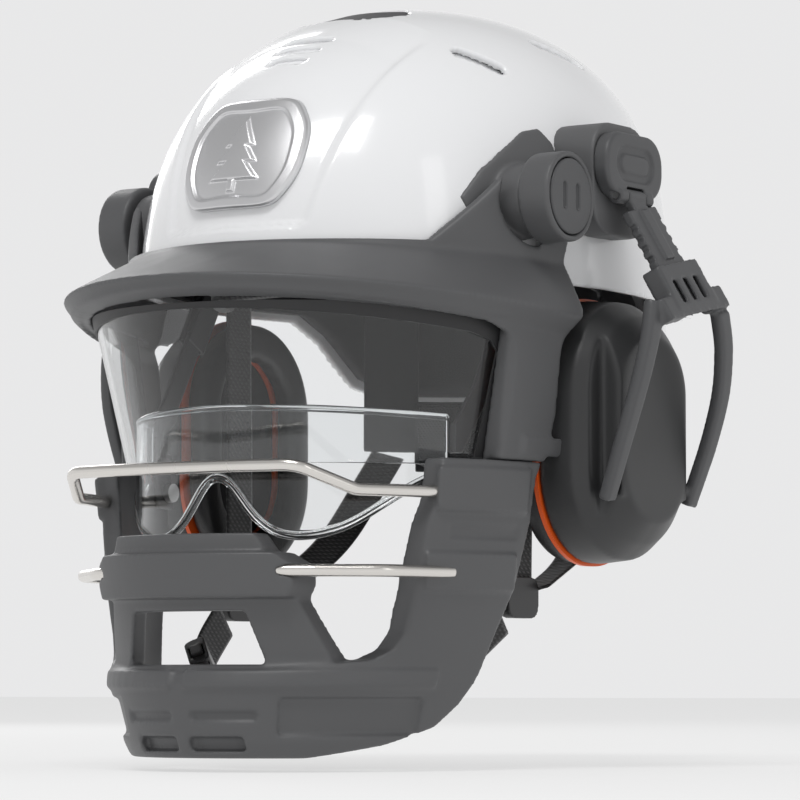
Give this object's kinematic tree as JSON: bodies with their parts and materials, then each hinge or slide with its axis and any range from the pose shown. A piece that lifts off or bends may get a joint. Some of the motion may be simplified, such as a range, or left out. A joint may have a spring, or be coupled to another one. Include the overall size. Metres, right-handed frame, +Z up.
{
  "type": "forestry helmet",
  "caption": "Forestry helmet with hinged wire face guard, clear visor, slide-up glasses, fold-out ear muffs, head suspension and chin strap.",
  "frame": {"origin": "midway between the ear cups, where the middle of the wearer's head is", "axes": "+X to the wearer's left, -Y forwards, +Z up"},
  "size_m": [0.2926, 0.3145, 0.3184],
  "materials": {
    "shell_white": "gloss",
    "liner_grey": "matte",
    "vent_black": "satin",
    "badge_metal": "brushed",
    "guard_grey": "satin",
    "base_grey": "satin",
    "cap_grey": "satin",
    "wire_steel": "brushed",
    "screw_steel": "satin",
    "visor_clear": "gloss",
    "glasses_clear": "gloss",
    "glasses_frame": "satin",
    "gasket_black": "satin",
    "cup_dark": "satin",
    "ring_orange": "satin",
    "cushion_black": "soft",
    "foam_grey": "matte",
    "band_black": "satin",
    "pad_fabric": "matte",
    "webbing_black": "matte",
    "buckle_black": "satin"
  },
  "bodies": {
    "helmet": {"outer_shell": "shell_white", "crown_vent_insert": "vent_black", "vent_screens": "shell_white", "shell_liner": "liner_grey", "badge": "badge_metal", "pivot_base_left": "base_grey", "pivot_base_right": "base_grey", "muff_mount_left": "base_grey", "muff_mount_right": "base_grey", "glasses_tracks": "glasses_frame", "headband": "band_black", "brow_pad": "pad_fabric", "crown_straps": "webbing_black", "crown_pad": "pad_fabric", "suspension_clips": "band_black", "temple_straps": "webbing_black", "strap_divider_left": "buckle_black", "strap_divider_right": "buckle_black", "neck_straps": "webbing_black", "chin_strap_left": "webbing_black", "chin_strap_right": "webbing_black", "chin_cup": "buckle_black", "buckle_socket": "buckle_black", "buckle_plug": "buckle_black"},
    "face_guard": {"brim_frame": "guard_grey", "chin_guard": "guard_grey", "upper_wire": "wire_steel", "lower_wire": "wire_steel", "visor_lens": "visor_clear", "visor_gasket": "gasket_black", "guard_screws": "screw_steel"},
    "pivot_cap_left": {"pivot_cap_left": "cap_grey"},
    "pivot_cap_right": {"pivot_cap_right": "cap_grey"},
    "eye_shield": {"glasses_lens": "glasses_clear", "glasses_arm_left": "glasses_frame", "glasses_arm_right": "glasses_frame"},
    "nape_fitting": {"nape_cradle": "band_black", "nape_pad": "pad_fabric", "ratchet_housing": "band_black"},
    "nape_wheel": {"nape_wheel": "band_black"},
    "buckle_tab_lower": {"buckle_tab_lower": "buckle_black"},
    "buckle_tab_upper": {"buckle_tab_upper": "buckle_black"},
    "muff_hub_left": {"muff_hub_left": "cap_grey", "muff_hinge_pin_left": "screw_steel"},
    "muff_arm_left": {"muff_arm_left": "cap_grey"},
    "muff_yoke_left": {"muff_yoke_left": "cap_grey"},
    "ear_cup_left": {"ear_cup_left": "cup_dark", "cup_ring_left": "ring_orange", "ear_cushion_left": "cushion_black", "cup_foam_left": "foam_grey"},
    "muff_hub_right": {"muff_hub_right": "cap_grey", "muff_hinge_pin_right": "screw_steel"},
    "muff_arm_right": {"muff_arm_right": "cap_grey"},
    "muff_yoke_right": {"muff_yoke_right": "cap_grey"},
    "ear_cup_right": {"ear_cup_right": "cup_dark", "cup_ring_right": "ring_orange", "ear_cushion_right": "cushion_black", "cup_foam_right": "foam_grey"}
  },
  "joints": [
    {"name": "guard_tilt", "type": "hinge", "parent": "helmet", "child": "face_guard", "pos_m": [0, -0.052, 0.0925], "axis": [-1, 0, 0], "range_deg": [0, 70]},
    {"name": "pivot_cap_turn_left", "type": "hinge", "parent": "helmet", "child": "pivot_cap_left", "pos_m": [0.112, -0.052, 0.0925], "axis": [1, 0, 0], "range_deg": [0, 60]},
    {"name": "pivot_cap_turn_right", "type": "hinge", "parent": "helmet", "child": "pivot_cap_right", "pos_m": [-0.112, -0.052, 0.0925], "axis": [-1, 0, 0], "range_deg": [0, 60]},
    {"name": "glasses_slide", "type": "slide", "parent": "helmet", "child": "eye_shield", "axis": [0, 0.5, 0.866], "range_m": [0, 0.05]},
    {"name": "nape_slide", "type": "slide", "parent": "helmet", "child": "nape_fitting", "axis": [0, -1, 0], "range_m": [0, 0.012]},
    {"name": "nape_wheel_turn", "type": "hinge", "parent": "nape_fitting", "child": "nape_wheel", "pos_m": [0, 0.113, 0.007], "axis": [0, 1, 0], "range_deg": [0, 360]},
    {"name": "buckle_tab_lower_press", "type": "slide", "parent": "helmet", "child": "buckle_tab_lower", "axis": [0, -0.6, 0.8], "range_m": [0, 0.002], "stiffness_N_per_m": 300},
    {"name": "buckle_tab_upper_press", "type": "slide", "parent": "helmet", "child": "buckle_tab_upper", "axis": [0, 0.6, -0.8], "range_m": [0, 0.002], "stiffness_N_per_m": 300},
    {"name": "muff_turn_left", "type": "hinge", "parent": "helmet", "child": "muff_hub_left", "pos_m": [0.112, -0.008, 0.106], "axis": [1, 0, 0], "range_deg": [0, 8]},
    {"name": "muff_swing_left", "type": "hinge", "parent": "muff_hub_left", "child": "muff_arm_left", "pos_m": [0.117, -0.008, 0.096], "axis": [0, -1, 0], "range_deg": [0, 30]},
    {"name": "muff_height_left", "type": "slide", "parent": "muff_arm_left", "child": "muff_yoke_left", "axis": [0.4201, 0.2, -0.8852], "range_m": [0, 0.008]},
    {"name": "cup_tilt_left", "type": "hinge", "parent": "muff_yoke_left", "child": "ear_cup_left", "pos_m": [0.1195, 0, -0.024], "axis": [0, 1, 0], "range_deg": [-4, 3]},
    {"name": "muff_turn_right", "type": "hinge", "parent": "helmet", "child": "muff_hub_right", "pos_m": [-0.112, -0.008, 0.106], "axis": [1, 0, 0], "range_deg": [0, 8]},
    {"name": "muff_swing_right", "type": "hinge", "parent": "muff_hub_right", "child": "muff_arm_right", "pos_m": [-0.117, -0.008, 0.096], "axis": [0, 1, 0], "range_deg": [0, 30]},
    {"name": "muff_height_right", "type": "slide", "parent": "muff_arm_right", "child": "muff_yoke_right", "axis": [-0.4201, 0.2, -0.8852], "range_m": [0, 0.008]},
    {"name": "cup_tilt_right", "type": "hinge", "parent": "muff_yoke_right", "child": "ear_cup_right", "pos_m": [-0.1195, 0, -0.024], "axis": [0, -1, 0], "range_deg": [-4, 3]}
  ],
  "couplings": [
    {"joint": "nape_wheel_turn", "follows": "nape_slide", "rad_per_m": 523.5}
  ]
}
